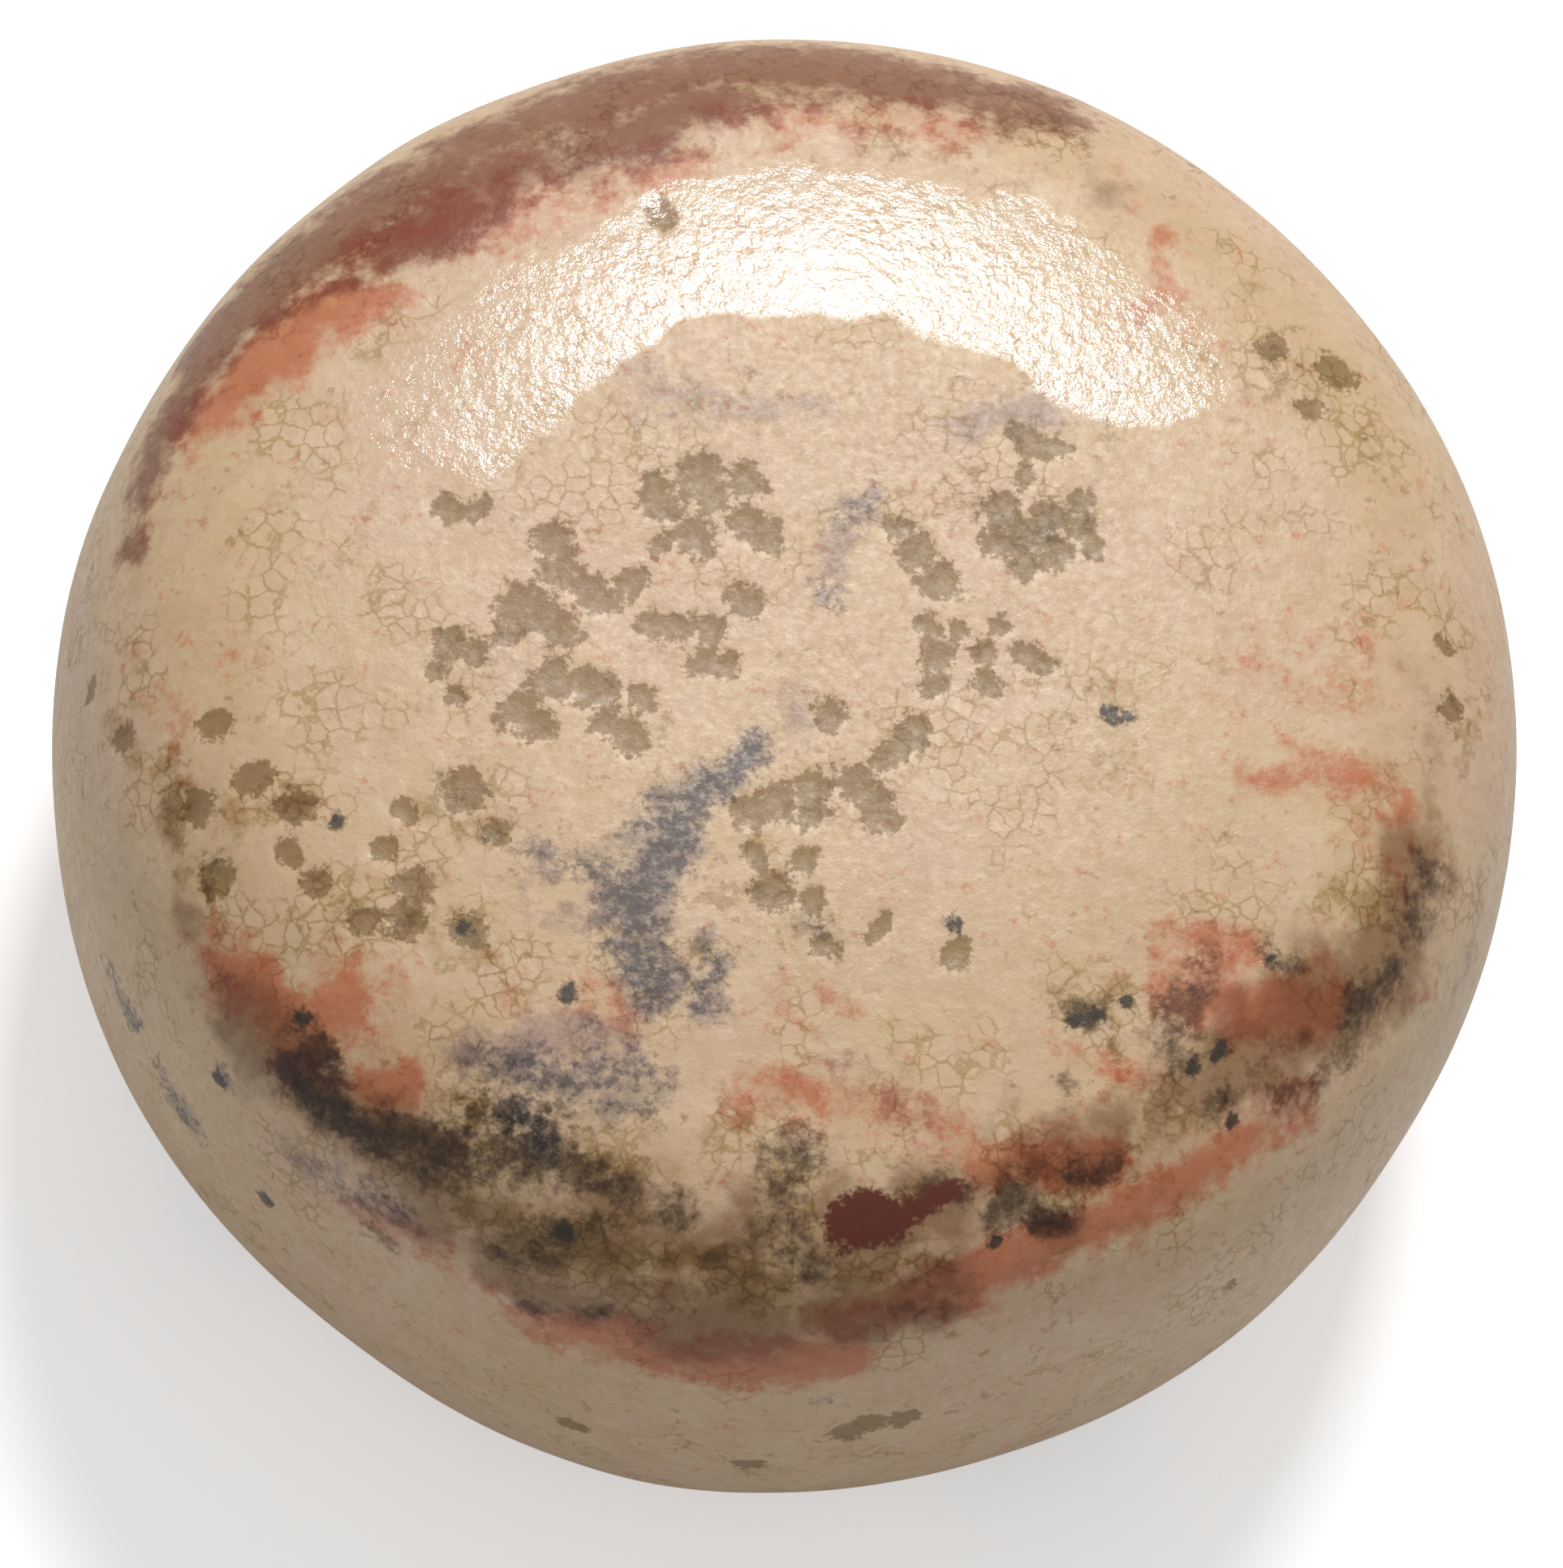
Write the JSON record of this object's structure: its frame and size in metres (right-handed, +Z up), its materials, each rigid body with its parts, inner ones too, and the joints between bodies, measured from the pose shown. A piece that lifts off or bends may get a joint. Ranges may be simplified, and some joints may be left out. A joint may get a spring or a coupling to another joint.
{
  "type": "discoidal stone",
  "caption": "Biscuit-shaped discoidal of polished quartzite, with flat faces, rounded shoulders and a bulging side, hand sized, free-standing.",
  "frame": {"origin": "middle of the lower flat, on which the stone rests", "axes": "+Z up through the middle of both faces, +Y towards the top of the picture, +X to its right"},
  "size_m": [0.0802, 0.08, 0.043],
  "materials": {
    "quartzite": "pinkish tan quartzite, ground and polished, with brown and rust iron stains and small pits"
  },
  "bodies": {
    "root": {"stone": "quartzite"}
  },
  "joints": []
}
